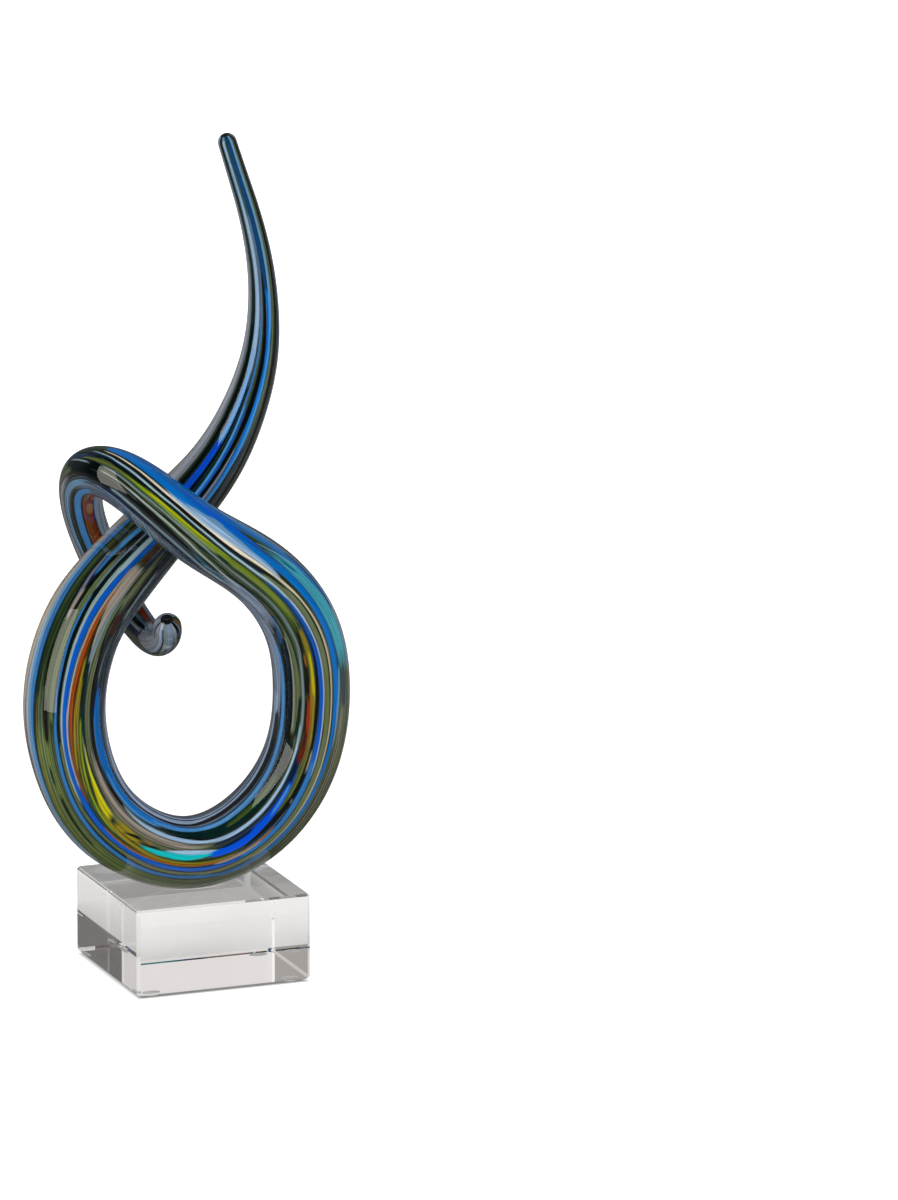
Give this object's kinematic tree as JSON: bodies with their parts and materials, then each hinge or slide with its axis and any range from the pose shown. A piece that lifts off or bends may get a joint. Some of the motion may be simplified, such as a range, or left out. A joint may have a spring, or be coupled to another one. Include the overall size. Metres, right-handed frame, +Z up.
{
  "type": "glass sculpture",
  "caption": "Tapering art-glass rod with twisted colour canes, tied in an open overhand knot and glued upright on a clear crystal block with clear bumpers.",
  "frame": {"origin": "on the surface that the bumpers stand on, under the middle of the bounding box", "axes": "+Z up, +X to the right and -Y towards the viewer, square to the block's sides"},
  "size_m": [0.1284, 0.07, 0.3229],
  "materials": {
    "crystal": "polished optical crystal",
    "glue": "clear cured glue",
    "casing": "fire-polished clear glass",
    "core": "black glass",
    "cane_peach": "peach to beige coloured glass",
    "cane_pale_blue": "pale blue coloured glass",
    "cane_amber": "amber coloured glass",
    "cane_moss_green": "moss green coloured glass",
    "cane_smoke_grey": "smoke grey coloured glass",
    "cane_lilac_grey": "lilac grey coloured glass",
    "cane_rust_red": "rust red coloured glass",
    "cane_sky_blue": "sky blue coloured glass",
    "cane_slate": "dark slate coloured glass",
    "cane_cobalt": "cobalt blue coloured glass",
    "cane_ink": "black glass with olive threads",
    "cane_ash_grey": "ash grey coloured glass with a pale blue thread",
    "cane_yellow": "lemon to olive yellow coloured glass with patches of other colours",
    "cane_royal_blue": "bright royal blue coloured glass",
    "cane_bottle_green": "bottle green coloured glass with pale threads",
    "cane_olive": "olive green coloured glass with fine lines",
    "cane_turquoise": "turquoise to blue coloured glass",
    "bumper": "clear soft plastic"
  },
  "bodies": {
    "root": {"crystal_base": "crystal", "bond_film": "glue", "clear_casing": "casing", "core_rod": "core", "cane_peach": "cane_peach", "cane_pale_blue": "cane_pale_blue", "cane_amber": "cane_amber", "cane_moss_green": "cane_moss_green", "cane_smoke_grey": "cane_smoke_grey", "cane_lilac_grey": "cane_lilac_grey", "cane_rust_red": "cane_rust_red", "cane_sky_blue": "cane_sky_blue", "cane_slate": "cane_slate", "cane_cobalt": "cane_cobalt", "cane_ink": "cane_ink", "cane_ash_grey": "cane_ash_grey", "cane_yellow": "cane_yellow", "cane_royal_blue": "cane_royal_blue", "cane_bottle_green": "cane_bottle_green", "cane_olive": "cane_olive", "cane_turquoise": "cane_turquoise", "foot_front_left": "bumper", "foot_front_right": "bumper", "foot_back_left": "bumper", "foot_back_right": "bumper"}
  },
  "joints": []
}
